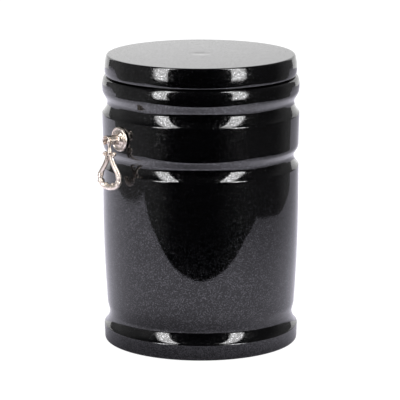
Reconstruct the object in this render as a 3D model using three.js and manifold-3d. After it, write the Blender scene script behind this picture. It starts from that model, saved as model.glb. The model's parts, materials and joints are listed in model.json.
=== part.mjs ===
// Cremation urn of turned, polished black granite with a loose granite lid and a pair of cast drop handles.
// Millimetres, +Z up, origin at the centre of the underside. The handles stand on the X axis.
import * as THREE from 'three';
import { mergeVertices } from 'three/addons/utils/BufferGeometryUtils.js';
import Module from 'manifold-3d';

const wasm = await Module();
wasm.setup();

// Stone body: radii and heights of the turned outline
const TURNED_SIDES = 44;
const BODY_CURVE_STEPS = 4;
const FOOT_FLAT_RADIUS = 97.8;
const FOOT_WALL = { radius: 99.5, height: 1.9 };
const BELLY_START = { radius: 96.6, height: 40.3 };
const BELLY_TOP = { radius: 100.45, height: 150 };
const RIM = { radius: 101, sideTop: 269, flatRadius: 97.8, height: 274.8 };
const RIM_ROUND = { up: 3.8, out: 2.6 };

// The three hollows: each leaves its crease along the flare and reaches the neck upright
const FOOT_HOLLOW = {
  crease: { radius: 100.05, height: 16.2 }, flare: { inward: 2.7, up: 1.95 },
  neck: { radius: 94.4, height: 28.8 }, upright: 5.4,
};
const LOWER_HOLLOW = {
  crease: { radius: 100.5, height: 183 }, flare: { inward: 1.75, up: 2.05 },
  neck: { radius: 95.5, height: 192.2 }, upright: 3.4,
};
const UPPER_HOLLOW = {
  crease: { radius: 101, height: 237.6 }, flare: { inward: 2.2, up: 2.2 },
  neck: { radius: 95.5, height: 248.4 }, upright: 3.8,
};

// The swell over each neck: heights where it turns out of the neck, into the wall, and is upright again
const WAIST_TURN_HEIGHT = 33;
const LOWER_SHOULDER = { turnOut: 195.2, turnUp: 203, wall: { radius: 100.3, height: 207 } };
const UPPER_SHOULDER = { turnOut: 251.4, turnUp: 259, wall: { radius: 100.65, height: 262.3 } };

// Bored hollow
const BORE_RADIUS = 75;
const BORE_FLOOR = 24;
const BORE_CORNER = 4;
const MOUTH_BEVEL = 2;

// Lid: a thick disc with a spigot that drops into the mouth
const LID_CURVE_STEPS = 4;
const STONE_GAP = 0.3;
const LID_SEAT = RIM.height + STONE_GAP;
const LID_TOP = 297.1;
const LID_SEAT_RADIUS = 96.2;
const LID_ROLL = { pull: { radius: 98, height: 276.7 }, upright: 4.6 };
const LID_WIDEST = { radius: 98.3, height: 284.2 };
const LID_LEAN_HEIGHT = 290;
const LID_UPPER_SHOULDER = { radius: 96.9, height: 295 };
const LID_EDGE_RADIUS = 96.5;
const LID_TOP_FLAT_RADIUS = 94.6;
const SPIGOT_PLAY = 0.8;
const SPIGOT_RADIUS = BORE_RADIUS - SPIGOT_PLAY;
const SPIGOT_DEPTH = 8;
const SPIGOT_BEVEL = 1.5;
const DIMPLE_RADIUS = 14;
const DIMPLE_DEPTH = 0.4;

// Handles: rosette, post with its stud, pivot pin and drop ring
const HANDLE_HEIGHT = 220;
const METAL_SIDES = 16;
const METAL_CURVE_STEPS = 3;
const METAL_GAP = 0.3;
const ROSETTE_BACK = 101.2;
const ROSETTE_RADIUS = 12.5;
const ROSETTE_BEAD = 2.2;
const ROSETTE_THICKNESS = 3;
const ROSETTE_BEAD_CROWN = { out: 0.3, up: 0.4 };
const ROSETTE_RECESS = 1.1;
const ROSETTE_HUB_RADIUS = 7;
const ROSETTE_HUB_SLOPE = 1.2;
const STUD_RADIUS = 3;
const STUD_LENGTH = 14;
const STUD_HOLE_RADIUS = STUD_RADIUS + METAL_GAP;
const DRILL_SIDES = 12;
const POST_FOOT_RADIUS = 6.4;
const POST_FLARE = { pull: 1, length: 3 };
const POST_RADIUS = 5;
const POST_LIP = { radius: 5.8, length: 3.3, edge: 1, round: 0.5 };
const POST_END = 119;
const PIVOT_RADIUS = 114.4;
const PIVOT_DROP = 1.5;
const PIVOT_HEIGHT = HANDLE_HEIGHT - PIVOT_DROP;
const PIN_RADIUS = 1;
const PIN_LENGTH = 8.4;
const SOCKET = { radius: 3.7, floor: 109.8, mouthRadius: 4.7, mouthDepth: 3.2 };
const SLOT_WIDTH = 6.6;

// Drop ring, seen flat on, measured from its pivot
const RING_TURN = THREE.MathUtils.degToRad(19);
const EYE_RADIUS = 3.1;
const EYE_HOLE_RADIUS = 1.8;
const EYE_CURVE_STEPS = 5;
const EYE_WIDTH = 2.6;
const TONGUE_THICKNESS = 2.6;
const TONGUE_LENGTH = 7;
const NECK_THICKNESS = 3.6;
const NECK_EDGE = [[1.3, -5.4], [2.1, -7.4], [2.4, -10], [3.2, -15], [4, -19]];
const KNOB_RADIUS = 2.1;
const KNOB_REACH = 5.3;
const KNOB_DROP = 12;
const CROSSBAR_RADIUS = 1.4;
const ARM_RADIUS = 2.6;
const ARM_SIDES = 6;
const BEAD_SIDES = 6;
const ARM_STEPS = 13;
const ARM_POINTS = [
  [1.9, -14], [3.3, -19], [6.6, -25.4], [9.9, -30.6], [11.4, -36],
  [11.0, -40.4], [8.8, -43.8], [5, -45.4], [0.2, -45.9],
];
const COLLAR_BEAD = { across: 11.4, drop: 35, radius: 2.9 };
const CORNER_BEAD = { across: 9.9, drop: 42.8, radius: 3 };
const BAR_BEAD = { across: 3.6, drop: 43, radius: 1.7 };
const BAR_SWELL = { across: 6, height: 3.1, depth: 2.6, drop: 46 };

const granite = new THREE.MeshStandardMaterial({ color: 0x0d0d10, roughness: 0.08, metalness: 0 });
const nickel = new THREE.MeshStandardMaterial({ color: 0xcfc0b4, roughness: 0.22, metalness: 1 });

// Turns a closed geometry into a solid that can be cut and joined, leaving out flat slivers at the poles.
function toSolid(geometry) {
  const bare = geometry.clone();
  bare.deleteAttribute('normal');
  bare.deleteAttribute('uv');
  const merged = mergeVertices(bare, 1e-4);
  const index = merged.index.array;
  const kept = [];
  for (let i = 0; i < index.length; i += 3) {
    const [a, b, c] = [index[i], index[i + 1], index[i + 2]];
    if (a !== b && b !== c && c !== a) kept.push(a, b, c);
  }
  const vertProperties = merged.attributes.position.array;
  return new wasm.Manifold(new wasm.Mesh({ numProp: 3, vertProperties, triVerts: new Uint32Array(kept) }));
}

function toGeometry(solid) {
  const mesh = solid.getMesh();
  const geometry = new THREE.BufferGeometry();
  geometry.setAttribute('position', new THREE.BufferAttribute(mesh.vertProperties, 3));
  geometry.setIndex(new THREE.BufferAttribute(mesh.triVerts, 1));
  geometry.computeVertexNormals();
  return geometry;
}

// Turns an outline of (radius, height) about the Z axis.
function turned(outline, curveSteps) {
  const geometry = new THREE.LatheGeometry(outline.getPoints(curveSteps), TURNED_SIDES);
  return geometry.rotateX(Math.PI / 2);
}

// Turns an outline of (radius, distance from the urn's axis) about a handle's own axis, along +X.
function turnedHandlePiece(outline) {
  const geometry = new THREE.LatheGeometry(outline.getPoints(METAL_CURVE_STEPS), METAL_SIDES);
  return geometry.rotateZ(-Math.PI / 2).translate(0, 0, HANDLE_HEIGHT);
}

// A hollow cut in above a crisp crease, swept in to the neck.
function addHollow(outline, { crease, flare, neck, upright }) {
  outline.lineTo(crease.radius, crease.height);
  outline.bezierCurveTo(
    crease.radius - flare.inward, crease.height + flare.up,
    neck.radius, neck.height - upright, neck.radius, neck.height);
}

// The shoulder over a neck: out of the neck, up a slope, and round into the wall above.
function addShoulder(outline, neckRadius, { turnOut, turnUp, wall }) {
  outline.bezierCurveTo(neckRadius, turnOut, wall.radius, turnUp, wall.radius, wall.height);
}

function bodyOutline() {
  const outline = new THREE.Path();
  outline.moveTo(0, 0);
  outline.lineTo(FOOT_FLAT_RADIUS, 0);
  outline.lineTo(FOOT_WALL.radius, FOOT_WALL.height);
  addHollow(outline, FOOT_HOLLOW);
  outline.quadraticCurveTo(
    FOOT_HOLLOW.neck.radius, WAIST_TURN_HEIGHT, BELLY_START.radius, BELLY_START.height);
  const bellyMiddle = (BELLY_START.height + BELLY_TOP.height) / 2;
  outline.quadraticCurveTo(BELLY_TOP.radius, bellyMiddle, BELLY_TOP.radius, BELLY_TOP.height);
  addHollow(outline, LOWER_HOLLOW);
  addShoulder(outline, LOWER_HOLLOW.neck.radius, LOWER_SHOULDER);
  addHollow(outline, UPPER_HOLLOW);
  addShoulder(outline, UPPER_HOLLOW.neck.radius, UPPER_SHOULDER);
  outline.lineTo(RIM.radius, RIM.sideTop);
  outline.bezierCurveTo(
    RIM.radius, RIM.sideTop + RIM_ROUND.up,
    RIM.flatRadius + RIM_ROUND.out, RIM.height, RIM.flatRadius, RIM.height);
  outline.lineTo(BORE_RADIUS + MOUTH_BEVEL, RIM.height);
  outline.lineTo(BORE_RADIUS, RIM.height - MOUTH_BEVEL);
  outline.lineTo(BORE_RADIUS, BORE_FLOOR + BORE_CORNER);
  outline.lineTo(BORE_RADIUS - BORE_CORNER, BORE_FLOOR);
  outline.lineTo(0, BORE_FLOOR);
  return outline;
}

// The hollow body with a blind hole drilled in from each side for a handle's stud.
function bodyGeometry() {
  const holeDepth = STUD_LENGTH + METAL_GAP;
  const holeReach = 2 * holeDepth;
  let body = toSolid(turned(bodyOutline(), BODY_CURVE_STEPS));
  for (const side of [-1, 1]) {
    const drill = new THREE.CylinderGeometry(STUD_HOLE_RADIUS, STUD_HOLE_RADIUS, holeReach, DRILL_SIDES);
    drill.rotateZ(Math.PI / 2);
    drill.translate(side * (ROSETTE_BACK - holeDepth + holeReach / 2), 0, HANDLE_HEIGHT);
    body = body.subtract(toSolid(drill));
  }
  return toGeometry(body);
}

function lidGeometry() {
  const spigotBottom = LID_SEAT - SPIGOT_DEPTH;
  const outline = new THREE.Path();
  outline.moveTo(0, spigotBottom);
  outline.lineTo(SPIGOT_RADIUS - SPIGOT_BEVEL, spigotBottom);
  outline.lineTo(SPIGOT_RADIUS, spigotBottom + SPIGOT_BEVEL);
  outline.lineTo(SPIGOT_RADIUS, LID_SEAT);
  outline.lineTo(LID_SEAT_RADIUS, LID_SEAT);
  outline.bezierCurveTo(
    LID_ROLL.pull.radius, LID_ROLL.pull.height,
    LID_WIDEST.radius, LID_WIDEST.height - LID_ROLL.upright, LID_WIDEST.radius, LID_WIDEST.height);
  outline.quadraticCurveTo(
    LID_WIDEST.radius, LID_LEAN_HEIGHT, LID_UPPER_SHOULDER.radius, LID_UPPER_SHOULDER.height);
  outline.quadraticCurveTo(LID_EDGE_RADIUS, LID_TOP, LID_TOP_FLAT_RADIUS, LID_TOP);
  outline.lineTo(DIMPLE_RADIUS, LID_TOP);
  outline.lineTo(0, LID_TOP - DIMPLE_DEPTH);
  return turned(outline, LID_CURVE_STEPS);
}

// A stepped disc: rounded bead at the edge, sunk ring, raised hub, and a hole for the stud.
function rosetteGeometry() {
  const front = ROSETTE_BACK + ROSETTE_THICKNESS;
  const sunk = front - ROSETTE_RECESS;
  const inner = ROSETTE_RADIUS - ROSETTE_BEAD;
  const outline = new THREE.Path();
  outline.moveTo(STUD_HOLE_RADIUS, ROSETTE_BACK);
  outline.lineTo(ROSETTE_RADIUS, ROSETTE_BACK);
  const { out, up } = ROSETTE_BEAD_CROWN;
  outline.bezierCurveTo(ROSETTE_RADIUS + out, front, inner + out, front + up, inner, sunk);
  outline.lineTo(ROSETTE_HUB_RADIUS + ROSETTE_HUB_SLOPE, sunk);
  outline.lineTo(ROSETTE_HUB_RADIUS, front);
  outline.lineTo(STUD_HOLE_RADIUS, front);
  outline.lineTo(STUD_HOLE_RADIUS, ROSETTE_BACK);
  return turnedHandlePiece(outline);
}

// The post: a stud in the stone, a flared foot on the rosette, and a round bar with a lipped end.
// A round socket in the end holds the ring's eye and widens at its mouth, and a slot below it lets
// the tongue hang and swing out through the end.
function postGeometry() {
  const foot = ROSETTE_BACK + ROSETTE_THICKNESS + METAL_GAP;
  const outline = new THREE.Path();
  outline.moveTo(0, ROSETTE_BACK - STUD_LENGTH);
  outline.lineTo(STUD_RADIUS, ROSETTE_BACK - STUD_LENGTH);
  outline.lineTo(STUD_RADIUS, foot);
  outline.lineTo(POST_FOOT_RADIUS, foot);
  outline.quadraticCurveTo(POST_RADIUS, foot + POST_FLARE.pull, POST_RADIUS, foot + POST_FLARE.length);
  outline.lineTo(POST_RADIUS, POST_END - POST_LIP.length);
  outline.lineTo(POST_LIP.radius, POST_END - POST_LIP.edge);
  outline.lineTo(POST_LIP.radius - POST_LIP.round, POST_END);
  outline.lineTo(0, POST_END);
  const bar = toSolid(turnedHandlePiece(outline));

  const cutEnd = POST_END + POST_LIP.radius;
  const bore = new THREE.Path();
  bore.moveTo(0, SOCKET.floor);
  bore.lineTo(SOCKET.radius, SOCKET.floor);
  bore.lineTo(SOCKET.radius, POST_END - SOCKET.mouthDepth);
  bore.lineTo(SOCKET.mouthRadius, POST_END);
  bore.lineTo(SOCKET.mouthRadius, cutEnd);
  bore.lineTo(0, cutEnd);
  const socket = toSolid(turnedHandlePiece(bore));

  const slotDepth = 2 * POST_LIP.radius;
  const slot = new THREE.BoxGeometry(cutEnd - SOCKET.floor, SLOT_WIDTH, slotDepth);
  slot.translate((cutEnd + SOCKET.floor) / 2, 0, HANDLE_HEIGHT - slotDepth / 2);

  const pinHoleRadius = PIN_RADIUS + METAL_GAP;
  const pinHole = new THREE.CylinderGeometry(pinHoleRadius, pinHoleRadius, 2 * PIN_LENGTH, DRILL_SIDES);
  pinHole.translate(PIVOT_RADIUS, 0, PIVOT_HEIGHT);
  return toGeometry(bar.subtract(socket.add(toSolid(slot))).subtract(toSolid(pinHole)));
}

function pinGeometry() {
  const pin = new THREE.CylinderGeometry(PIN_RADIUS, PIN_RADIUS, PIN_LENGTH, DRILL_SIDES);
  return pin.translate(PIVOT_RADIUS, 0, PIVOT_HEIGHT);
}

// The eye that hangs on the pin, with the top of the tongue: an outline in (outward, up), widened along Y.
function eyeSolid() {
  const half = TONGUE_THICKNESS / 2;
  const meet = Math.asin(half / EYE_RADIUS);
  const outline = new THREE.Shape();
  outline.moveTo(-half, -TONGUE_LENGTH);
  outline.lineTo(half, -TONGUE_LENGTH);
  outline.absarc(0, 0, EYE_RADIUS, meet - Math.PI / 2, 1.5 * Math.PI - meet, false);
  outline.closePath();
  const hole = new THREE.Path();
  hole.absarc(0, 0, EYE_HOLE_RADIUS, 0, 2 * Math.PI, true);
  outline.holes.push(hole);
  const eye = new THREE.ExtrudeGeometry(outline, {
    depth: EYE_WIDTH, bevelEnabled: false, curveSegments: EYE_CURVE_STEPS,
  });
  eye.rotateX(Math.PI / 2).translate(0, EYE_WIDTH / 2, 0);
  return toSolid(eye);
}

// The tongue flares into the neck where the arms begin: an outline in (across, up), thickened along X.
function neckSolid() {
  const outline = new THREE.Shape();
  outline.moveTo(0, NECK_EDGE[0][1]);
  for (const [across, up] of NECK_EDGE) outline.lineTo(across, up);
  for (const [across, up] of NECK_EDGE.toReversed()) outline.lineTo(-across, up);
  outline.closePath();
  const neck = new THREE.ExtrudeGeometry(outline, { depth: NECK_THICKNESS, bevelEnabled: false });
  neck.rotateX(Math.PI / 2).rotateZ(Math.PI / 2).translate(-NECK_THICKNESS / 2, 0, 0);
  return toSolid(neck);
}

// One arm of the ring, from the neck round the corner into the swelling in the middle of the bottom bar.
function armSolid(side) {
  const points = ARM_POINTS.map(([across, up]) => new THREE.Vector3(0, side * across, up));
  const section = new THREE.Shape();
  section.absarc(0, 0, ARM_RADIUS, 0, 2 * Math.PI, false);
  const arm = new THREE.ExtrudeGeometry(section, {
    steps: ARM_STEPS, curveSegments: ARM_SIDES / 2, bevelEnabled: false,
    extrudePath: new THREE.CatmullRomCurve3(points),
  });
  return toSolid(arm);
}

function beadSolid(across, drop, radius) {
  return toSolid(new THREE.SphereGeometry(radius, BEAD_SIDES, BEAD_SIDES - 2).translate(0, across, -drop));
}

function ringGeometry() {
  const crossbar = new THREE.CylinderGeometry(CROSSBAR_RADIUS, CROSSBAR_RADIUS, 2 * KNOB_REACH, BEAD_SIDES);
  const swell = new THREE.SphereGeometry(1, ARM_SIDES, BEAD_SIDES);
  swell.scale(BAR_SWELL.depth, BAR_SWELL.across, BAR_SWELL.height).translate(0, 0, -BAR_SWELL.drop);
  let ring = eyeSolid().add(neckSolid());
  ring = ring.add(toSolid(crossbar.translate(0, 0, -KNOB_DROP))).add(toSolid(swell));
  for (const side of [-1, 1]) {
    ring = ring.add(armSolid(side)).add(beadSolid(side * KNOB_REACH, KNOB_DROP, KNOB_RADIUS));
    for (const bead of [COLLAR_BEAD, CORNER_BEAD, BAR_BEAD]) {
      ring = ring.add(beadSolid(side * bead.across, bead.drop, bead.radius));
    }
  }
  return toGeometry(ring);
}

function addMesh(group, name, geometry, material) {
  const mesh = new THREE.Mesh(geometry, material);
  mesh.name = name;
  group.add(mesh);
}

const urn = new THREE.Group();
addMesh(urn, 'urn_body', bodyGeometry(), granite);
addMesh(urn, 'lid', lidGeometry(), granite);

// Each handle is built facing +X. The left one is turned half round, and both rings hang turned towards -Y.
const HANDLES = [
  { name: 'left', facing: Math.PI, ringTurn: RING_TURN },
  { name: 'right', facing: 0, ringTurn: -RING_TURN },
];
for (const { name, facing, ringTurn } of HANDLES) {
  const handle = new THREE.Group();
  handle.rotation.z = facing;
  addMesh(handle, `rosette_${name}`, rosetteGeometry(), nickel);
  addMesh(handle, `post_${name}`, postGeometry(), nickel);
  addMesh(handle, `pivot_pin_${name}`, pinGeometry(), nickel);
  const hanging = new THREE.Group();
  hanging.position.set(PIVOT_RADIUS, 0, PIVOT_HEIGHT);
  hanging.rotation.z = ringTurn;
  addMesh(hanging, `drop_ring_${name}`, ringGeometry(), nickel);
  handle.add(hanging);
  urn.add(handle);
}

export default urn;
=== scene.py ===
import json
import math

import bpy
import numpy as np
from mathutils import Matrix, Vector


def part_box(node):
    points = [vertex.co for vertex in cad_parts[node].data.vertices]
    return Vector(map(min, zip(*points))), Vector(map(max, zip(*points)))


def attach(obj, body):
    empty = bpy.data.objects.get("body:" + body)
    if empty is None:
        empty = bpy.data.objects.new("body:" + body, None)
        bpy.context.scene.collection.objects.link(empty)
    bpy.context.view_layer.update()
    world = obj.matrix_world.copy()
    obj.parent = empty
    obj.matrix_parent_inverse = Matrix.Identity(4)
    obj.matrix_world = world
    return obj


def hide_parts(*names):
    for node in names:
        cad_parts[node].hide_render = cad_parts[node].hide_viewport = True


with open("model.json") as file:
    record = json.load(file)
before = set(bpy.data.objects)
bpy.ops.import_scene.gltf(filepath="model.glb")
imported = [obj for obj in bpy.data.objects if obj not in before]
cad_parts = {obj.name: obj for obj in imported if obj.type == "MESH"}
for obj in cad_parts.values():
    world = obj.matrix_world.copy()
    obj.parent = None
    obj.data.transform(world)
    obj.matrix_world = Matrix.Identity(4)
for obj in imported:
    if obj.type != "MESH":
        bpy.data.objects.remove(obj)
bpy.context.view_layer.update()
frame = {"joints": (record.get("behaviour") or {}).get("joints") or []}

# The body: one block of fine black granite, turned to a foot, a belly and two bands with hollow-cut
# grooves between them, bored out straight from the top, and polished to a mirror inside and out.
# Outlines are in millimetres as (radius, height), run up the outside, and are scaled when turned.
MM = 0.001
NO_LENGTH = 1e-6
STONE_TURN_STEPS = 288
FOOT_UNDERSIDE_RADIUS = 97.2
FOOT_CORNER_RADIUS = 99.4
FOOT_WALL = (99.5, 2.4)
FOOT_CREASE, FOOT_FLARE = (100.05, 16.2), (-2.7, 1.95)
WAIST, WAIST_RISE = (94.4, 28.8), 5.4
WAIST_TURN_HEIGHT = 32.2
BELLY_START_HEIGHT, BELLY_LEAD = 40.3, (0.33, 4.0)
BELLY_TOP = (100.45, 150.0)
BELLY_SWEEP = 3140.0
BELLY_STEPS = 40
BODY_CREASE, BODY_FLARE = (100.5, 183.0), (-1.75, 2.05)
BODY_NECK, BODY_NECK_RISE = (95.5, 192.2), 3.4
BAND_SLOPE = (96.5, 196.8), (99.2, 201.2)
BAND_BOTTOM = (100.3, 207.0)
BAND_CREASE, BAND_FLARE = (101.0, 237.6), (-2.2, 2.2)
COLLAR_NECK, COLLAR_NECK_RISE = (95.7, 248.4), 3.8
COLLAR_SLOPE = (97.0, 253.2), (99.2, 256.9)
COLLAR_BOTTOM = (100.8, 262.7)
RIM_WIDEST = (101.0, 265.0)
RIM_BARREL_HEIGHT, RIM_CORNER_RADIUS = 269.5, 100.5
RIM_FLAT = (97.8, 274.8)
CREASE_EASE = 0.6
SHOULDER_TURN_INSET = 0.05
BORE_RADIUS = 75.0
BORE_FLOOR = 24.0
BORE_CORNER = 4.0
MOUTH_EDGE = 1.6
RUN_SHARES = np.array([0.0, 0.01, 0.04, 0.12, 0.3, 0.5, 0.7, 0.88, 0.96, 0.99, 1.0])[:, None]


def bezier(*control, steps):
    """Points on a Bezier curve: its control points weighted by the Bernstein terms at even steps of t."""
    degree = len(control) - 1
    t = np.linspace(0.0, 1.0, steps + 1)
    terms = [math.comb(degree, k) * t**k * (1 - t) ** (degree - k) for k in range(degree + 1)]
    return np.stack(terms, axis=1) @ np.array(control, float)


def straight(start, end):
    """Points on a straight run, crowded towards both ends so that smooth shading stays flat between."""
    return np.array(start, float) * (1 - RUN_SHARES) + np.array(end, float) * RUN_SHARES


def joined(*runs):
    """Runs of points end to end, without the points that two runs share."""
    points = np.vstack(runs)
    gaps = np.linalg.norm(np.diff(points, axis=0), axis=1)
    return points[np.r_[True, gaps > NO_LENGTH]]


def wall_below(start, crease):
    """A plain wall, up to where the eased edge of a crease begins."""
    return straight(start, (crease[0], crease[1] - CREASE_EASE))


def hollow(crease, flare, neck, rise):
    """The hollow above a crease: an eased edge, then a sweep in to the neck. It leaves the crease along
    flare and reaches the neck upright, with a run of the length rise."""
    crease, flare, neck = np.array(crease), np.array(flare), np.array(neck)
    ease_end = crease + CREASE_EASE * flare / np.linalg.norm(flare)
    return joined(
        bezier(crease - (0, CREASE_EASE), crease, ease_end, steps=6),
        bezier(ease_end, crease + flare, neck - (0, rise), neck, steps=24),
    )


def shoulder(neck, slope, wall):
    """The shoulder over a neck: a small fillet, a plain slope and a rounded turn up into the wall above.
    The fillet and the turn are pulled to where the slope's line meets the neck and the wall."""
    slope_start, slope_end = slope
    lean = (slope_end[0] - slope_start[0]) / (slope_end[1] - slope_start[1])
    fillet = (neck[0], slope_start[1] - (slope_start[0] - neck[0]) / lean)
    turn_radius = wall[0] - SHOULDER_TURN_INSET
    turn = (turn_radius, slope_end[1] + (turn_radius - slope_end[0]) / lean)
    return joined(
        bezier(neck, fillet, slope_start, steps=12),
        straight(slope_start, slope_end),
        bezier(slope_end, turn, wall, steps=18),
    )


def belly():
    """The long swelling side: the radius falls with the square of the distance below its widest place."""
    height = np.linspace(BELLY_START_HEIGHT, BELLY_TOP[1], BELLY_STEPS)
    return np.stack([BELLY_TOP[0] - (BELLY_TOP[1] - height) ** 2 / BELLY_SWEEP, height], axis=1)


belly_run = belly()
rim_height = RIM_FLAT[1]
mouth_edge_height = rim_height - MOUTH_EDGE
body_outline = joined(
    straight((0, 0), (FOOT_UNDERSIDE_RADIUS, 0)),
    bezier((FOOT_UNDERSIDE_RADIUS, 0), (FOOT_CORNER_RADIUS, 0), FOOT_WALL, steps=8),
    wall_below(FOOT_WALL, FOOT_CREASE),
    hollow(FOOT_CREASE, FOOT_FLARE, WAIST, WAIST_RISE),
    bezier(WAIST, (WAIST[0], WAIST_TURN_HEIGHT), belly_run[0] - BELLY_LEAD, belly_run[0], steps=14),
    belly_run,
    wall_below(BELLY_TOP, BODY_CREASE),
    hollow(BODY_CREASE, BODY_FLARE, BODY_NECK, BODY_NECK_RISE),
    shoulder(BODY_NECK, BAND_SLOPE, BAND_BOTTOM),
    wall_below(BAND_BOTTOM, BAND_CREASE),
    hollow(BAND_CREASE, BAND_FLARE, COLLAR_NECK, COLLAR_NECK_RISE),
    shoulder(COLLAR_NECK, COLLAR_SLOPE, COLLAR_BOTTOM),
    straight(COLLAR_BOTTOM, RIM_WIDEST),
    bezier(RIM_WIDEST, (RIM_WIDEST[0], RIM_BARREL_HEIGHT), (RIM_CORNER_RADIUS, rim_height), RIM_FLAT,
           steps=24),
    straight(RIM_FLAT, (BORE_RADIUS + MOUTH_EDGE, rim_height)),
    bezier((BORE_RADIUS + MOUTH_EDGE, rim_height), (BORE_RADIUS, rim_height),
           (BORE_RADIUS, mouth_edge_height), steps=6),
    straight((BORE_RADIUS, mouth_edge_height), (BORE_RADIUS, BORE_FLOOR + BORE_CORNER)),
    bezier((BORE_RADIUS, BORE_FLOOR + BORE_CORNER), (BORE_RADIUS, BORE_FLOOR),
           (BORE_RADIUS - BORE_CORNER, BORE_FLOOR), steps=6),
    straight((BORE_RADIUS - BORE_CORNER, BORE_FLOOR), (0, BORE_FLOOR)),
)


def grid_faces(rows, columns, wrap_rows=False):
    """Quads of a grid that closes on itself along its columns, and along its rows too if asked."""
    row = np.arange(rows if wrap_rows else rows - 1)[:, None]
    column = np.arange(columns)[None, :]
    after_row, after_column = (row + 1) % rows, (column + 1) % columns
    corners = [row * columns + column, row * columns + after_column,
               after_row * columns + after_column, after_row * columns + column]
    return np.stack(np.broadcast_arrays(*corners), axis=-1).reshape(-1, 4)


def new_piece(name, points, faces, material=None):
    """A smooth-shaded mesh object at the origin, with its place in its points, in metres."""
    mesh = bpy.data.meshes.new(name)
    mesh.from_pydata(np.asarray(points).tolist(), [], faces)
    mesh.shade_smooth()
    piece = bpy.data.objects.new(name, mesh)
    bpy.context.scene.collection.objects.link(piece)
    if material:
        mesh.materials.append(material)
    return piece


def turned_surface(outline, steps, centre=(0, 0, 0), axis=(0, 0, 1), side=(1, 0, 0)):
    """A turned solid: each outline point (radius, along) is carried round the axis, at
    centre + along * axis + radius * (cos angle * side + sin angle * axis x side).
    The outline starts and ends on the axis, in single poles."""
    axis, side = np.array(axis, float), np.array(side, float)
    angle = np.linspace(0, 2 * np.pi, steps, endpoint=False)
    around = np.cos(angle)[:, None] * side + np.sin(angle)[:, None] * np.cross(axis, side)
    ringed = outline[outline[:, 0] > NO_LENGTH] * MM
    points = ringed[:, None, 1:] * axis + ringed[:, None, :1] * around
    points = np.vstack([points.reshape(-1, 3), outline[0, 1] * MM * axis, outline[-1, 1] * MM * axis])
    faces = grid_faces(len(ringed), steps).tolist()
    first, last = len(points) - 2, len(points) - 1
    step = np.arange(steps)
    after = (step + 1) % steps
    top = (len(ringed) - 1) * steps
    faces += np.stack([np.full(steps, first), after, step], axis=1).tolist()
    faces += np.stack([np.full(steps, last), top + step, top + after], axis=1).tolist()
    return points + np.array(centre, float), faces


def feed(socket, value):
    """Links a socket to another node's output, or sets it to a constant."""
    if isinstance(value, bpy.types.NodeSocket):
        socket.id_data.links.new(value, socket)
    else:
        socket.default_value = value


def node_adder(tree):
    """A function that adds a node to the tree: its settings, its first inputs in order, others by name."""

    def add(kind, settings=None, first_inputs=(), **named_inputs):
        node = tree.nodes.new(kind)
        for key, value in (settings or {}).items():
            setattr(node, key, value)
        for socket, value in zip(node.inputs, first_inputs):
            feed(socket, value)
        for key, value in named_inputs.items():
            feed(node.inputs[key.replace("_", " ")], value)
        return node

    return add


def new_material(name):
    """A material with one Principled shader, and the function that adds nodes to it."""
    material = bpy.data.materials.new(name)
    material.use_nodes = True
    return material, material.node_tree.nodes["Principled BSDF"], node_adder(material.node_tree)


def compute(add, operation, *values):
    """The result of one sum of the Math node."""
    return add("ShaderNodeMath", {"operation": operation}, values).outputs[0]


def ramp(add, source, thresholds, values=(0.0, 1.0)):
    """A smooth step of a number from the first value to the second between two thresholds."""
    node = add("ShaderNodeMapRange", {"interpolation_type": "SMOOTHSTEP"}, Value=source,
               From_Min=thresholds[0], From_Max=thresholds[1], To_Min=values[0], To_Max=values[1])
    return node.outputs["Result"]


def blend(add, share, first, second):
    """A colour that goes from the first to the second as the share goes from 0 to 1."""
    node = add("ShaderNodeMix", {"data_type": "RGBA"}, Factor=share)
    first_colour, second_colour = [socket for socket in node.inputs if socket.type == "RGBA"]
    feed(first_colour, first)
    feed(second_colour, second)
    return next(socket for socket in node.outputs if socket.type == "RGBA")


STONE_BLACK = (0.0025, 0.0025, 0.003, 1)
STONE_IOR = 1.54
STONE_RIPPLE, STONE_RIPPLE_BUMP = {"Scale": 650.0, "Detail": 1.0}, {"Strength": 0.014, "Distance": 0.001}
GRAINS_PER_METRE = 1700.0
GRAIN_DIM, GRAIN_BRIGHT = (0.06, 0.06, 0.062, 1), (0.168, 0.166, 0.171, 1)
GRAIN_CHANCE = (0.93, 0.95)
GRAIN_CLOUDS, GRAIN_CLOUD_SHARE = {"Scale": 90.0, "Detail": 3.0, "Roughness": 0.6}, 0.3
FOOT_GRAIN_SHARE, FOOT_GRAIN_HEIGHTS = 0.33, (0.0155, 0.0165)
POLISH_CHANCE, POLISH_ROUGHNESS = (0.8, 0.9), (0.03, 0.23)


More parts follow.
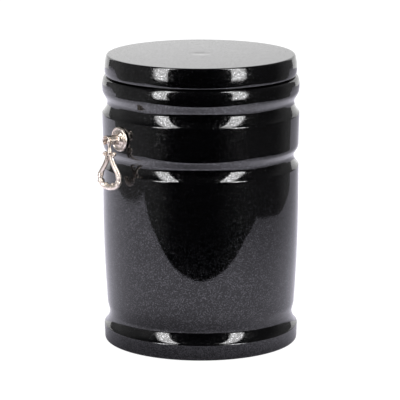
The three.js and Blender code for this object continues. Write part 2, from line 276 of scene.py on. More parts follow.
def polished_granite():
    """Black granite: a near-black glassy ground with mirror-like mineral grains about half a millimetre
    across, which show where something bright is reflected. They lie closer in clouds and on the foot's
    wall, and some took less polish than the rest. The polish is faintly rippled."""
    material, shader, add = new_material("polished_granite")
    place = add("ShaderNodeTexCoord").outputs["Object"]
    grain = add("ShaderNodeTexVoronoi", Vector=place, Scale=GRAINS_PER_METRE)
    pick = add("ShaderNodeSeparateColor", Color=grain.outputs["Color"]).outputs
    cloud = add("ShaderNodeTexNoise", Vector=place, **GRAIN_CLOUDS).outputs["Fac"]
    height = add("ShaderNodeSeparateXYZ", Vector=place).outputs["Z"]
    clouded = compute(add, "MULTIPLY_ADD", cloud, GRAIN_CLOUD_SHARE, pick["Red"])
    on_foot = ramp(add, height, FOOT_GRAIN_HEIGHTS, (FOOT_GRAIN_SHARE, 0.0))
    mirror = ramp(add, compute(add, "ADD", clouded, on_foot), GRAIN_CHANCE)
    shine = blend(add, pick["Blue"], GRAIN_DIM, GRAIN_BRIGHT)
    feed(shader.inputs["Base Color"], blend(add, mirror, STONE_BLACK, shine))
    feed(shader.inputs["Metallic"], mirror)
    feed(shader.inputs["Roughness"], ramp(add, pick["Green"], POLISH_CHANCE, POLISH_ROUGHNESS))
    shader.inputs["IOR"].default_value = STONE_IOR
    ripple = add("ShaderNodeTexNoise", Vector=place, **STONE_RIPPLE).outputs["Fac"]
    bump = add("ShaderNodeBump", Height=ripple, **STONE_RIPPLE_BUMP)
    feed(shader.inputs["Normal"], bump.outputs["Normal"])
    return material


granite = polished_granite()
body = new_piece("granite_body", *turned_surface(body_outline, STONE_TURN_STEPS), granite)
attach(body, "urn")
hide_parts("urn_body")

# The lid: a loose disc of the same granite, turned with a slightly barrelled edge, a plain spigot that
# drops into the mouth, and the faint dished centre mark of the lathe on its polished top.
LID_GAP = 0.3
LID_SEAT_RADIUS = 96.2
LID_ROLL = (98.0, 276.7), (98.3, 279.6)
LID_WIDEST = (98.3, 284.2)
LID_LEAN_HEIGHT = 290.0
LID_UPPER_SHOULDER = (96.9, 295.0)
LID_EDGE_RADIUS = 96.5
LID_TOP_FLAT_RADIUS, LID_TOP = 94.6, 297.1
SPIGOT_RADIUS = 74.2
SPIGOT_DEPTH = 8.0
SPIGOT_EDGE = 1.5
DIMPLE_RADIUS = 14.0
DIMPLE_DEPTH = 0.2

seat = rim_height + LID_GAP
spigot_bottom = seat - SPIGOT_DEPTH
dimple_floor = LID_TOP - DIMPLE_DEPTH
lid_outline = joined(
    straight((0, spigot_bottom), (SPIGOT_RADIUS - SPIGOT_EDGE, spigot_bottom)),
    bezier((SPIGOT_RADIUS - SPIGOT_EDGE, spigot_bottom), (SPIGOT_RADIUS, spigot_bottom),
           (SPIGOT_RADIUS, spigot_bottom + SPIGOT_EDGE), steps=6),
    straight((SPIGOT_RADIUS, spigot_bottom + SPIGOT_EDGE), (SPIGOT_RADIUS, seat)),
    straight((SPIGOT_RADIUS, seat), (LID_SEAT_RADIUS, seat)),
    bezier((LID_SEAT_RADIUS, seat), *LID_ROLL, LID_WIDEST, steps=20),
    bezier(LID_WIDEST, (LID_WIDEST[0], LID_LEAN_HEIGHT), LID_UPPER_SHOULDER, steps=16),
    bezier(LID_UPPER_SHOULDER, (LID_EDGE_RADIUS, LID_TOP), (LID_TOP_FLAT_RADIUS, LID_TOP), steps=10),
    straight((LID_TOP_FLAT_RADIUS, LID_TOP), (DIMPLE_RADIUS, LID_TOP)),
    bezier((DIMPLE_RADIUS, LID_TOP), (DIMPLE_RADIUS / 2, LID_TOP), (DIMPLE_RADIUS / 2, dimple_floor),
           (0, dimple_floor), steps=16),
)
lid = new_piece("granite_lid", *turned_surface(lid_outline, STONE_TURN_STEPS), granite)
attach(lid, "urn")
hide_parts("lid")

# The rosettes: cast and nickel-plated discs against the stone, with a rounded bead round the edge,
# a sunk ring and a raised hub that the post stands on.
HANDLE_SIDES = {"left": -1.0, "right": 1.0}
METAL_TURN_STEPS = 96
ROSETTE_BACK_EDGE = (0.4, 0.5)
ROSETTE_SUNK = 1.1
BEAD_CROWN = np.array([(0.05, 0.1), (-1.9, 0.5)])
BEAD_WIDTH = 2.3
HUB_FOOT_RADIUS, HUB_TOP_RADIUS = 8.2, 6.8
HUB_SLOPE = 7.6, 7.5
NICKEL_DEEP, NICKEL_PALE = (0.66, 0.568, 0.498, 1), (0.755, 0.672, 0.606, 1)
NICKEL_TARNISH_AND_SHADE = (0.17, 0.135, 0.115, 1)
NICKEL_METALLIC = 0.97
NICKEL_CLOUDS, NICKEL_CLOUD_LEVELS = {"Scale": 160.0, "Detail": 2.0}, (0.35, 0.65)
NICKEL_UNEVEN = {"Scale": 420.0, "Detail": 4.0, "Roughness": 0.6}
NICKEL_UNEVEN_BUMP = {"Strength": 0.12, "Distance": 0.0002}
NICKEL_UNEVEN_LEVELS, NICKEL_ROUGHNESS = (0.35, 0.7), (0.26, 0.36)
NICKEL_HOLLOW_POINTINESS = (0.39, 0.47)


def cast_nickel():
    """Warm nickel plate over a casting: softly uneven colour and gloss, fine pits left by the mould, and
    dark tarnish mixed with painted shade in the hollows, which are found by their low Pointiness."""
    material, shader, add = new_material("cast_nickel")
    place = add("ShaderNodeTexCoord").outputs["Object"]
    uneven = add("ShaderNodeTexNoise", Vector=place, **NICKEL_UNEVEN).outputs["Fac"]
    cloudy = add("ShaderNodeTexNoise", Vector=place, **NICKEL_CLOUDS).outputs["Fac"]
    clean = blend(add, ramp(add, cloudy, NICKEL_CLOUD_LEVELS), NICKEL_DEEP, NICKEL_PALE)
    # The colour darkens in the hollows, found by low Pointiness: tarnish together with painted shade.
    pointiness = add("ShaderNodeNewGeometry").outputs["Pointiness"]
    raised = ramp(add, pointiness, NICKEL_HOLLOW_POINTINESS)
    feed(shader.inputs["Base Color"], blend(add, raised, NICKEL_TARNISH_AND_SHADE, clean))
    shader.inputs["Metallic"].default_value = NICKEL_METALLIC
    feed(shader.inputs["Roughness"], ramp(add, uneven, NICKEL_UNEVEN_LEVELS, NICKEL_ROUGHNESS))
    bump = add("ShaderNodeBump", Height=uneven, **NICKEL_UNEVEN_BUMP)
    feed(shader.inputs["Normal"], bump.outputs["Normal"])
    return material


nickel = cast_nickel()
for side_name, sign in HANDLE_SIDES.items():
    low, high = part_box(f"rosette_{side_name}")
    centre = (0, 0, (low.z + high.z) / 2)
    radius = (high.z - low.z) / 2 / MM
    back = min(abs(low.x), abs(high.x)) / MM
    front = max(abs(low.x), abs(high.x)) / MM
    sunk = front - ROSETTE_SUNK
    edge_in, edge_up = ROSETTE_BACK_EDGE
    rosette_outline = joined(
        straight((0, back), (radius - edge_in, back)),
        bezier((radius - edge_in, back), (radius, back), (radius, back + edge_up), steps=5),
        bezier((radius, back + edge_up), *((radius, front) + BEAD_CROWN), (radius - BEAD_WIDTH, sunk),
               steps=14),
        straight((radius - BEAD_WIDTH, sunk), (HUB_FOOT_RADIUS, sunk)),
        bezier((HUB_FOOT_RADIUS, sunk), (HUB_SLOPE[0], sunk), (HUB_SLOPE[1], front),
               (HUB_TOP_RADIUS, front), steps=8),
        straight((HUB_TOP_RADIUS, front), (0, front)),
    )
    surface = turned_surface(rosette_outline, METAL_TURN_STEPS, centre, (sign, 0, 0), (0, sign, 0))
    rosette = new_piece(f"cast_rosette_{side_name}", *surface, nickel)
    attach(rosette, "urn")
    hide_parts(f"rosette_{side_name}")

# The posts: cast round bars that flare into the rosettes, with a lip and a round socket in the end,
# slotted from below for the ring's tongue and cross-drilled for the pivot pin. The mould leaves every
# edge soft. Lengths along a post are measured from its foot, or back from its end.
POST_VOXEL = 0.14
POST_SMOOTHING = 3
POST_SUNK = 0.4
POST_FOOT_RADIUS, POST_RADIUS = 6.4, 5.0
POST_FLARE, POST_FLARE_LENGTH = np.array([(6.3, 0.9), (5.2, 0.9)]), 3.4
LIP_START, LIP_EDGE = 3.8, 0.9
LIP_FLARE = np.array([(5.0, -2.6), (5.7, -2.4)])
LIP_RADIUS, LIP_FACE_RADIUS = 5.8, 5.2
SOCKET_RADIUS = 3.7
SOCKET_FLOOR = 109.8
SOCKET_MOUTH_RADIUS = 4.7
SOCKET_MOUTH_DEPTH = 3.2
SOCKET_TURN_STEPS = 48
SLOT_HALF_WIDTH = 3.3
CUT_PAST_END = 5.0
CUT_BELOW = 20.0
PIN_HOLE_RADIUS, PIN_HOLE_REACH = 1.15, 9.0
PIN_TURN_STEPS = 32
pivots = {"left": frame["joints"][0], "right": frame["joints"][1]}


def box_surface(corner, opposite):
    """A closed box between two opposite corners, as points and quads."""
    low, high = np.minimum(corner, opposite), np.maximum(corner, opposite)
    x, y, z = np.meshgrid(*zip(low, high), indexing="ij")
    faces = [[0, 1, 3, 2], [4, 6, 7, 5], [0, 4, 5, 1], [2, 3, 7, 6], [0, 2, 6, 4], [1, 5, 7, 3]]
    return np.stack([x, y, z], axis=-1).reshape(-1, 3), faces


def melted(name, source, voxel, smoothing, cutters=()):
    """The source with the cutters taken out of it, remade as one even skin and smoothed, so that joins
    and edges are filleted as in a casting. The source and the cutters are used up."""
    for cutter in cutters:
        cut = source.modifiers.new("cut", "BOOLEAN")
        cut.operation = "DIFFERENCE"
        cut.solver = "MANIFOLD"
        cut.object = cutter
    skin = source.modifiers.new("skin", "REMESH")
    skin.mode = "VOXEL"
    skin.voxel_size = voxel * MM
    smooth = source.modifiers.new("smooth", "SMOOTH")
    smooth.iterations = smoothing
    bpy.context.view_layer.update()
    mesh = bpy.data.meshes.new_from_object(source.evaluated_get(bpy.context.evaluated_depsgraph_get()))
    mesh.name = name
    mesh.materials.clear()
    mesh.shade_smooth()
    for used in (source, *cutters):
        bpy.data.objects.remove(used)
    piece = bpy.data.objects.new(name, mesh)
    bpy.context.scene.collection.objects.link(piece)
    return piece


for side_name, sign in HANDLE_SIDES.items():
    low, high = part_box(f"post_{side_name}")
    centre = (0, 0, (low.z + high.z) / 2)
    end = max(abs(low.x), abs(high.x)) / MM
    foot = max(abs(corner.x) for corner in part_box(f"rosette_{side_name}")) / MM - POST_SUNK
    bar_start, bar_end = foot + POST_FLARE_LENGTH, end - LIP_START
    post_outline = joined(
        straight((0, foot), (POST_FOOT_RADIUS, foot)),
        bezier((POST_FOOT_RADIUS, foot), *((0, foot) + POST_FLARE), (POST_RADIUS, bar_start), steps=14),
        straight((POST_RADIUS, bar_start), (POST_RADIUS, bar_end)),
        bezier((POST_RADIUS, bar_end), *((0, end) + LIP_FLARE), (LIP_RADIUS, end - LIP_EDGE), steps=10),
        bezier((LIP_RADIUS, end - LIP_EDGE), (LIP_RADIUS, end), (LIP_FACE_RADIUS, end), steps=8),
        straight((LIP_FACE_RADIUS, end), (0, end)),
    )
    surface = turned_surface(post_outline, METAL_TURN_STEPS, centre, (sign, 0, 0), (0, sign, 0))
    post_blank = new_piece("post_blank", *surface)
    mouth, cut_end = end - SOCKET_MOUTH_DEPTH, end + CUT_PAST_END
    socket_outline = joined(
        straight((0, SOCKET_FLOOR), (SOCKET_RADIUS, SOCKET_FLOOR)),
        straight((SOCKET_RADIUS, SOCKET_FLOOR), (SOCKET_RADIUS, mouth)),
        straight((SOCKET_RADIUS, mouth), (SOCKET_MOUTH_RADIUS, end)),
        straight((SOCKET_MOUTH_RADIUS, end), (SOCKET_MOUTH_RADIUS, cut_end)),
        straight((SOCKET_MOUTH_RADIUS, cut_end), (0, cut_end)),
    )
    surface = turned_surface(socket_outline, SOCKET_TURN_STEPS, centre, (sign, 0, 0), (0, sign, 0))
    socket_cutter = new_piece("socket_cutter", *surface)
    pivot = Vector(pivots[side_name]["pos_m"])
    slot_corner = (sign * SOCKET_FLOOR * MM, -SLOT_HALF_WIDTH * MM, pivot.z - CUT_BELOW * MM)
    slot_opposite = (sign * cut_end * MM, SLOT_HALF_WIDTH * MM, centre[2])
    slot_cutter = new_piece("slot_cutter", *box_surface(slot_corner, slot_opposite))
    drill_outline = joined(
        straight((0, -PIN_HOLE_REACH), (PIN_HOLE_RADIUS, -PIN_HOLE_REACH)),
        straight((PIN_HOLE_RADIUS, -PIN_HOLE_REACH), (PIN_HOLE_RADIUS, PIN_HOLE_REACH)),
        straight((PIN_HOLE_RADIUS, PIN_HOLE_REACH), (0, PIN_HOLE_REACH)),
    )
    surface = turned_surface(drill_outline, PIN_TURN_STEPS, tuple(pivot), (0, 1, 0), (1, 0, 0))
    drill_cutter = new_piece("drill_cutter", *surface)
    post = melted(f"cast_post_{side_name}", post_blank, POST_VOXEL, POST_SMOOTHING,
                  (socket_cutter, slot_cutter, drill_cutter))
    post.data.materials.append(nickel)
    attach(post, "urn")
    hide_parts(f"post_{side_name}")

# The pivot pins: short turned pins of the same nickel-plated metal, pressed through the posts' cheeks,
# with lightly domed ends.
PIN_RADIUS = 1.0
PIN_DOME_RADIUS, PIN_DOME_HEIGHT = 0.8, 0.25
PIN_EDGE = 0.3

for side_name in HANDLE_SIDES:
    low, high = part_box(f"pivot_pin_{side_name}")
    half = (high.y - low.y) / 2 / MM
    edge, dome = half - PIN_EDGE, half + PIN_DOME_HEIGHT
    pin_outline = joined(
        bezier((0, -dome), (PIN_DOME_RADIUS, -dome), (PIN_RADIUS, -edge), steps=8),
        straight((PIN_RADIUS, -edge), (PIN_RADIUS, edge)),
        bezier((PIN_RADIUS, edge), (PIN_DOME_RADIUS, dome), (0, dome), steps=8),
    )
    surface = turned_surface(pin_outline, PIN_TURN_STEPS, tuple((low + high) / 2), (0, 1, 0), (1, 0, 0))
    pin = new_piece(f"turned_pin_{side_name}", *surface, nickel)
    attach(pin, "urn")
    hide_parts(f"pivot_pin_{side_name}")

# The drop rings: cast in one, an eye and tongue that flare to a neck with a scroll at each side, two
# arms that spread to scrolled corners, and a bowed bottom bar with a swollen middle and two beads.
# Lengths are in millimetres from the pivot, in the order out from the stone, across the ring, and up.
RING_VOXEL = 0.17
RING_SMOOTHING = 4
TUBE_STEPS = 20
TUBE_POINT = 1e-4
BALL_ROWS, BALL_COLUMNS = 18, 24
TORUS_COLUMNS = 16
EYE_REACH, EYE_THICKNESS, EYE_HALF_WIDTH = 2.5, 0.68, 1.25
EYE_ROWS = 40
TONGUE_TOP, TONGUE_BOTTOM = -2.4, -14.4
TONGUE_ROWS = 40
TONGUE_WIDTHS = {-14.4: 2.0, -13: 2.6, -11: 2.7, -8: 2.3, -6.2: 1.5, -5: 1.25, -2.4: 1.2}
TONGUE_DEPTHS = {-14.4: 1.3, -13: 1.9, -11: 2.1, -8: 1.8, -6: 1.35, -2.4: 1.2}
ARM_POINTS = [(1.9, -13.4), (2.6, -16.5), (3.6, -19.6), (6.6, -25.4), (9.8, -30.6), (11.4, -36.0),
              (11.1, -40.4), (8.9, -43.8), (5.0, -45.5), (0.0, -46.0)]
ARM_SPAN_STEPS = 14
ARM_RADII = {0: 2.4, 0.25: 2.6, 0.5: 2.6, 0.62: 2.6, 0.8: 2.8, 1.0: 3.1}
ARM_FLATNESS = 0.95
COLLAR_HEIGHTS = np.array([-33.2, -35.5])
COLLAR_SWELL, COLLAR_LENGTH = 0.8, 0.6
COLLAR_LAST_SHARE = 0.75
SCROLL_ROWS = 28
SCROLL_LIP, SCROLL_CORE = 0.36, 0.7
NECK_SCROLL = {"across": 5.4, "up": -12.2, "radius": 2.4, "depth": 1.9, "dish": 0.7}
CORNER_SCROLL = {"across": 10.6, "up": -40.6, "radius": 3.3, "depth": 2.8, "dish": 1.1}
CURL_POINTS = [(2.4, -18.4), (3.4, -15.6), (4.5, -13.9), (5.4, -13.2)]
CURL_SPAN_STEPS = 8
CURL_RADIUS, CURL_DEPTH = 1.35, 1.5
BEAD_PLACE, BEAD_SIZE = (3.9, -42.9), (2.0, 1.9, 1.8)
SWELL_PLACE, SWELL_SIZE = (0.0, -46.2), (2.7, 6.4, 3.0)


def smooth_path(points, steps):
    """Points on a Catmull-Rom curve through the given ones: on each span the four nearest are weighted
    by cubics."""
    points = np.array(points, float)
    padded = np.vstack([2 * points[0] - points[1], points, 2 * points[-1] - points[-2]])
    t = np.linspace(0, 1, steps, endpoint=False)[:, None]
    weights = [-t / 2 + t**2 - t**3 / 2, 1 - 2.5 * t**2 + 1.5 * t**3,
               t / 2 + 2 * t**2 - 1.5 * t**3, (t**3 - t**2) / 2]
    spans = [sum(w * padded[k + i] for i, w in enumerate(weights)) for k in range(len(points) - 1)]
    return np.vstack([*spans, points[-1]])


def along_table(places, table):
    """Values read off a table of place: value, on straight lines between its entries."""
    return np.interp(places, list(table.keys()), list(table.values()))


def flat_tube(path, radius, depth):
    """A closed tube along a path of (across, up) points: at each the section is an ellipse, radius wide in
    the ring's plane and depth out of it, and both ends close to a point."""
    path = np.vstack([path[0], path, path[-1]])
    radius = np.r_[TUBE_POINT, radius, TUBE_POINT]
    depth = np.r_[TUBE_POINT, depth, TUBE_POINT]
    along = np.gradient(path[1:-1], axis=0)
    along /= np.linalg.norm(along, axis=1)[:, None]
    along = np.vstack([along[0], along, along[-1]])
    angle = np.linspace(0, 2 * np.pi, TUBE_STEPS, endpoint=False)
    normal = np.stack([-along[:, 1], along[:, 0]], axis=1)
    flat = path[:, None, :] + radius[:, None, None] * np.cos(angle)[None, :, None] * normal[:, None, :]
    out = depth[:, None] * np.sin(angle)[None, :]
    return np.concatenate([out[..., None], flat], axis=-1)


def ball(across, up, size):
    """A closed ellipsoid with the half sizes (out, across, up): rows of latitude, columns of longitude."""
    latitude = np.linspace(-np.pi / 2, np.pi / 2, BALL_ROWS)[:, None]
    longitude = np.linspace(0, 2 * np.pi, BALL_COLUMNS, endpoint=False)[None, :]
    unit = [np.cos(latitude) * np.cos(longitude), np.cos(latitude) * np.sin(longitude),
            np.sin(latitude) + 0 * longitude]
    return np.stack([u * s for u, s in zip(unit, size)], axis=-1) + np.array([0, across, up])


def torus(reach, thickness, depth, rows):
    """A torus as (along its axis, and the two ways across it): its core is a circle of the radius reach,
    and its section an ellipse, thickness across the axis and depth along it. Rows run round the axis."""
    turn = np.linspace(0, 2 * np.pi, rows, endpoint=False)[:, None]
    section = np.linspace(0, 2 * np.pi, TORUS_COLUMNS, endpoint=False)[None, :]
    radius = reach + thickness * np.cos(section)
    return depth * np.sin(section) + 0 * turn, radius * np.cos(turn), radius * np.sin(turn)


def scroll_lip(across, up, radius, depth):
    """The rolled edge of a scroll end: a torus round the out direction."""
    thickness = SCROLL_LIP * radius
    out, first, second = torus(radius - thickness, thickness, depth, SCROLL_ROWS)
    return np.stack([out, across + first, up + second], axis=-1)


def ring_forms():
    """Every closed form of one ring as a grid of points, in two lists: those that close from the last row
    to the first, and those whose rows end in points."""
    along, out, up = torus(EYE_REACH, EYE_THICKNESS, EYE_HALF_WIDTH, EYE_ROWS)
    closed = [np.stack([out, along, up], axis=-1)]
    tongue_up = np.linspace(TONGUE_TOP, TONGUE_BOTTOM, TONGUE_ROWS)
    tongue_path = np.stack([0 * tongue_up, tongue_up], axis=1)
    tongue_width = along_table(tongue_up, TONGUE_WIDTHS)
    tongue_depth = along_table(tongue_up, TONGUE_DEPTHS)
    pointed = [flat_tube(tongue_path, tongue_width, tongue_depth)]
    for side in (-1, 1):
        path = smooth_path(ARM_POINTS, ARM_SPAN_STEPS) * (side, 1)
        share = np.linspace(0, 1, len(path))
        from_collars = (path[:, 1] - COLLAR_HEIGHTS[:, None]) / COLLAR_LENGTH
        collars = COLLAR_SWELL * np.exp(-(from_collars**2)).sum(axis=0) * (share < COLLAR_LAST_SHARE)
        radius = along_table(share, ARM_RADII) + collars
        pointed.append(flat_tube(path, radius, ARM_FLATNESS * radius))
        curl = smooth_path(CURL_POINTS, CURL_SPAN_STEPS) * (side, 1)
        pointed.append(flat_tube(curl, np.full(len(curl), CURL_RADIUS), np.full(len(curl), CURL_DEPTH)))
        for scroll in (NECK_SCROLL, CORNER_SCROLL):
            across, core = side * scroll["across"], SCROLL_CORE * scroll["radius"]
            closed.append(scroll_lip(across, scroll["up"], scroll["radius"], scroll["depth"]))
            pointed.append(ball(across, scroll["up"], (scroll["dish"], core, core)))
        pointed.append(ball(side * BEAD_PLACE[0], BEAD_PLACE[1], BEAD_SIZE))
    pointed.append(ball(*SWELL_PLACE, SWELL_SIZE))
    return closed, pointed


def ring_blank(pivot, outward, across):
    """The ring's forms in one mesh, turned from (out, across, up) to the frame and set at the pivot."""
    basis = np.array([outward, across, (0, 0, 1)])
    closed, pointed = ring_forms()
    points, faces, count = [], [], 0
    for form, wraps in [(form, True) for form in closed] + [(form, False) for form in pointed]:
        rows, columns, _ = form.shape
        points.append(form.reshape(-1, 3) @ basis * MM + np.array(pivot))
        faces += (grid_faces(rows, columns, wrap_rows=wraps) + count).tolist()
        count += rows * columns
    return new_piece("ring_blank", np.vstack(points), faces)


for side_name, joint in pivots.items():
    axis = Vector(joint["axis"])
    outward = (-axis.y, axis.x, 0)
    blank = ring_blank(joint["pos_m"], outward, tuple(-axis))
    ring = melted(f"cast_ring_{side_name}", blank, RING_VOXEL, RING_SMOOTHING)
    ring.data.materials.append(nickel)
    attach(ring, f"ring_{side_name}")
    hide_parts(f"drop_ring_{side_name}")

# The table: a matt white sheet that ends a little way in front of the urn, in an uneven edge. The outline
# gives its corners in metres as (right of the view, towards the camera).
VIEW_AZIMUTH = math.radians(-37.0)
TABLE_OUTLINE = [(-0.78, 0.345), (-0.45, 0.378), (0.0, 0.338), (0.4, 0.372), (0.64, 0.317), (0.69, 0.1),
                 (0.70, -0.45), (2.4, -2.05), (2.4, -2.6), (-3.0, -2.6), (-3.0, -1.98), (-0.81, -0.3)]
TABLE_TINT = (0.945, 0.926, 1.04)
TABLE_ROUGHNESS = 0.9
# Painted shade in the table's colour: a falloff to the right, a painted contact shadow round the foot, and
# a darkening at a flat angle of sight.
TABLE_RIGHT_DISTANCES, TABLE_RIGHT_PAINTED_SHADE = (0.1, 0.65), (0.96, 0.56)
TABLE_PAINTED_SHADOW_CENTRE = (-0.03, 0.06)
TABLE_PAINTED_SHADOW_DISTANCES, TABLE_PAINTED_SHADOW_WHITES = (0.05, 0.2), (0.45, 1.0)
TABLE_GRAZING_FACINGS, TABLE_GRAZING_PAINTED_SHADE = (0.2, 0.75), (1.0, 0.6)
# The table's painted glow, which the camera alone sees.
TABLE_SEEN_GLOW, TABLE_SEEN_SHARE = 1.15, 0.86
toward_camera = np.array([math.sin(VIEW_AZIMUTH), -math.cos(VIEW_AZIMUTH), 0.0])
right_of_view = np.array([math.cos(VIEW_AZIMUTH), math.sin(VIEW_AZIMUTH), 0.0])
up = np.array([0.0, 0.0, 1.0])


def on_table(right, near):
    """The point of the table that lies so far to the right of its middle and so far towards the camera."""
    return right * right_of_view + near * toward_camera


def flat_stage(name, corners, material):
    """A flat sheet for the studio, which is not attached to the urn."""
    sheet = new_piece(name, corners, [list(range(len(corners)))], material)
    return sheet


def distance_right(add, place):
    """How far a place lies to the right of the urn's axis."""
    node = add("ShaderNodeVectorMath", {"operation": "DOT_PRODUCT"}, (place, right_of_view))
    return node.outputs["Value"]


def table_white():
    """Matt white with painted shade in its colour: it darkens close round the foot as a painted contact
    shadow, to the right as a painted falloff where less light would reach it, and towards a flat angle of
    sight. To the camera it also gives off a painted glow, so it looks nearly evenly bright, as on a lit
    sweep, with a trace of the painted shadow."""
    material, shader, add = new_material("table_white")
    place = add("ShaderNodeTexCoord").outputs["Object"]
    painted_shadow_centre = on_table(*TABLE_PAINTED_SHADOW_CENTRE)
    reach = add("ShaderNodeVectorMath", {"operation": "DISTANCE"}, (place, painted_shadow_centre)).outputs["Value"]
    facing = add("ShaderNodeLayerWeight").outputs["Facing"]
    # Painted shade: the white falls to the right, round the foot as a painted contact shadow, and at a
    # flat angle of sight.
    to_right = ramp(add, distance_right(add, place), TABLE_RIGHT_DISTANCES, TABLE_RIGHT_PAINTED_SHADE)
    painted_foot_shadow = ramp(add, reach, TABLE_PAINTED_SHADOW_DISTANCES, TABLE_PAINTED_SHADOW_WHITES)
    painted_grazing_shade = ramp(add, facing, TABLE_GRAZING_FACINGS, TABLE_GRAZING_PAINTED_SHADE)
    white = compute(add, "MULTIPLY", compute(add, "MULTIPLY", to_right, painted_foot_shadow), painted_grazing_shade)
    tinted = add("ShaderNodeVectorMath", {"operation": "SCALE"}, (TABLE_TINT,), Scale=white)
    feed(shader.inputs["Base Color"], tinted.outputs["Vector"])
    shader.inputs["Roughness"].default_value = TABLE_ROUGHNESS
    shader.inputs["Specular IOR Level"].default_value = 0.0
    # A painted glow that only camera rays see makes the table look evenly bright.
    glow = add("ShaderNodeEmission", Strength=TABLE_SEEN_GLOW)
    looked_at = add("ShaderNodeLightPath").outputs["Is Camera Ray"]
    seen = compute(add, "MULTIPLY", looked_at, TABLE_SEEN_SHARE)
    mixed = add("ShaderNodeMixShader", None, (seen, shader.outputs[0], glow.outputs[0]))
    feed(material.node_tree.nodes["Material Output"].inputs["Surface"], mixed.outputs[0])
    return material


flat_stage("studio_table", [on_table(right, near) for right, near in TABLE_OUTLINE], table_white())

# The back card: a white sheet upright behind the urn, out of the camera's sight, that the lid's flat top
# mirrors. Its light falls off to the right and upwards.
CARD_DISTANCE = 1.7
CARD_HALF_WIDTH, CARD_HEIGHT = 1.4, 1.2
CARD_RIGHT_DISTANCES, CARD_RIGHT_GLOWS = (-0.3, 0.3), (1.36, 1.22)
CARD_HEIGHTS, CARD_HEIGHT_SHARES = (0.52, 0.62), (1.03, 0.88)


def glow_material(name):
    """A material that gives off light, the socket for its strength, and the function that adds nodes."""
    material, _, add = new_material(name)
    emission = add("ShaderNodeEmission")
    feed(material.node_tree.nodes["Material Output"].inputs["Surface"], emission.outputs[0])
    return material, emission.inputs["Strength"], add


def card_white():
    """White light that is stronger to the left, and below the height that the lid's front edge mirrors."""
    material, strength, add = glow_material("card_glow")
    place = add("ShaderNodeTexCoord").outputs["Object"]
    height = add("ShaderNodeSeparateXYZ", Vector=place).outputs["Z"]
    to_right = ramp(add, distance_right(add, place), CARD_RIGHT_DISTANCES, CARD_RIGHT_GLOWS)
    feed(strength, compute(add, "MULTIPLY", to_right, ramp(add, height, CARD_HEIGHTS, CARD_HEIGHT_SHARES)))
    return material


def only_mirrored(piece):
    """Keeps a studio piece to the reflections in the urn."""
    piece.visible_camera = False
    piece.visible_diffuse = False
    piece.visible_shadow = False


card_left = on_table(-CARD_HALF_WIDTH, -CARD_DISTANCE)
card_right = on_table(CARD_HALF_WIDTH, -CARD_DISTANCE)
card_rise = CARD_HEIGHT * up
card_corners = [card_left, card_right, card_right + card_rise, card_left + card_rise]
only_mirrored(flat_stage("studio_back_card", card_corners, card_white()))

# The strip lights: tall soft boxes at both sides of the camera that the stone mirrors as upright streaks.
# Each is a curved sheet round the urn's axis whose light fades out at its sides and its foot. Its
# columns stand at angles from the camera, in degrees, and lean outwards with the height.
STRIP_DISTANCE = 1.5
STRIP_RADIANCE = 9.3
STRIP_HEIGHTS = np.array([0.01, 0.15, 1.2, 2.4, 3.6])
STRIP_HEIGHT_GLOWS = (0.0, 1.0, 0.93, 0.86, 0.8)
STRIP_LEAN_POWER = 1.45
STRIP_ANGLES = {
    "left": {"low": (-37.4, -39.2, -51.0, -56.0), "high": (-43.0, -45.0, -72.0, -79.0)},
    "right": {"low": (34.6, 36.4, 49.4, 54.2), "high": (37.5, 39.5, 62.0, 68.0)},
}
STRIP_COLUMN_GLOWS = (0.0, 1.0, 1.0, 0.0)


def strip_white():
    """White light, weighed by the glow value that each corner of the mesh carries."""
    material, strength, add = glow_material("strip_glow")
    fade = add("ShaderNodeAttribute", {"attribute_name": "glow"}).outputs["Fac"]
    feed(strength, compute(add, "MULTIPLY", fade, STRIP_RADIANCE))
    return material


def open_grid_faces(rows, columns):
    """Quads of a grid that is open on all its sides."""
    first = (np.arange(rows - 1)[:, None] * columns + np.arange(columns - 1)).ravel()
    return np.stack([first, first + 1, first + columns + 1, first + columns], axis=1).tolist()


strip_material = strip_white()
strip_lean = (STRIP_HEIGHTS[:, None] / STRIP_HEIGHTS[-1]) ** STRIP_LEAN_POWER
strip_faces = open_grid_faces(len(STRIP_HEIGHTS), len(STRIP_COLUMN_GLOWS))
for strip_name, degrees in STRIP_ANGLES.items():
    turn = np.radians((1 - strip_lean) * degrees["low"] + strip_lean * degrees["high"])[..., None]
    ahead = STRIP_DISTANCE * (np.cos(turn) * toward_camera + np.sin(turn) * right_of_view)
    points = (ahead + STRIP_HEIGHTS[:, None, None] * up).reshape(-1, 3)
    strip = new_piece(f"studio_strip_{strip_name}", points, strip_faces, strip_material)
    glow = strip.data.attributes.new("glow", "FLOAT", "POINT")
    glow.data.foreach_set("value", np.outer(STRIP_HEIGHT_GLOWS, STRIP_COLUMN_GLOWS).ravel())
    only_mirrored(strip)

# The overhead light: one large soft box above the urn, facing straight down, that lights the table and
# is not itself mirrored. Its power is its radiance x pi x its area.
OVERHEAD_PLACE = (0.3, 0.5, 2.6)
OVERHEAD_SIZE = 3.4
OVERHEAD_RADIANCE = 5.75
overhead_light = bpy.data.lights.new("overhead", "AREA")
overhead_light.shape = "SQUARE"
overhead_light.size = OVERHEAD_SIZE
overhead_light.energy = OVERHEAD_RADIANCE * math.pi * OVERHEAD_SIZE**2
overhead = bpy.data.objects.new("overhead", overhead_light)
bpy.context.scene.collection.objects.link(overhead)
overhead.location = OVERHEAD_PLACE
overhead.visible_camera = False
overhead.visible_glossy = False

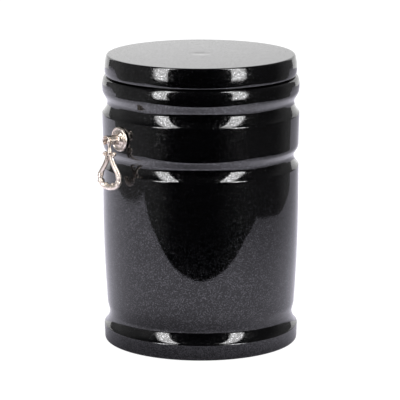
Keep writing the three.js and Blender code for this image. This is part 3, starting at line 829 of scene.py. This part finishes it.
# The room: white where the camera looks past the urn, and dark for everything else but for the dim glow
# of three walls. A wall's glow grows between two cosines of the angle to it.
LEFT_WALL = {"facing": -right_of_view, "cosines": (0.55, 1.0), "glow": 0.22}
RIGHT_WALL = {"facing": right_of_view, "cosines": (0.2, 0.9), "glow": 0.05}
BACK_WALL = {"facing": -toward_camera, "cosines": (0.1, 0.6), "glow": 0.15}
ROOM_WHITE = (1, 1, 1, 1)
world = bpy.data.worlds.new("studio_room")
bpy.context.scene.world = world
world.use_nodes = True
world.node_tree.nodes.clear()
add_to_room = node_adder(world.node_tree)
direction = add_to_room("ShaderNodeTexCoord").outputs["Generated"]
room_glow = 0.0
for wall in (LEFT_WALL, RIGHT_WALL, BACK_WALL):
    cosine = add_to_room("ShaderNodeVectorMath", {"operation": "DOT_PRODUCT"}, (direction, wall["facing"]))
    wall_glow = ramp(add_to_room, cosine.outputs["Value"], wall["cosines"], (0.0, wall["glow"]))
    room_glow = compute(add_to_room, "ADD", room_glow, wall_glow)
dark = add_to_room("ShaderNodeBackground", Color=ROOM_WHITE, Strength=room_glow)
pale = add_to_room("ShaderNodeBackground", Color=ROOM_WHITE)
looked_at = add_to_room("ShaderNodeLightPath").outputs["Is Camera Ray"]
either = add_to_room("ShaderNodeMixShader", None, (looked_at, dark.outputs[0], pale.outputs[0]))
add_to_room("ShaderNodeOutputWorld", Surface=either.outputs[0])

# The camera: a long lens some way off, at more than twice the urn's height, level across and tipped down
# to the urn's middle.
CAMERA_DISTANCE = 2.660
CAMERA_HEIGHT = 0.719
CAMERA_TIP = math.radians(12.19)
CAMERA_LENS, CAMERA_SENSOR = 237.5, 36.0
CAMERA_SHIFT = -0.002
lens = bpy.data.cameras.new("photo_camera")
lens.lens = CAMERA_LENS
lens.sensor_width = CAMERA_SENSOR
lens.shift_x = CAMERA_SHIFT
camera = bpy.data.objects.new("photo_camera", lens)
bpy.context.scene.collection.objects.link(camera)
camera.location = CAMERA_DISTANCE * toward_camera + CAMERA_HEIGHT * up
camera.rotation_euler = (math.pi / 2 - CAMERA_TIP, 0, VIEW_AZIMUTH)
bpy.context.scene.camera = camera
bpy.context.scene.view_settings.view_transform = "Standard"
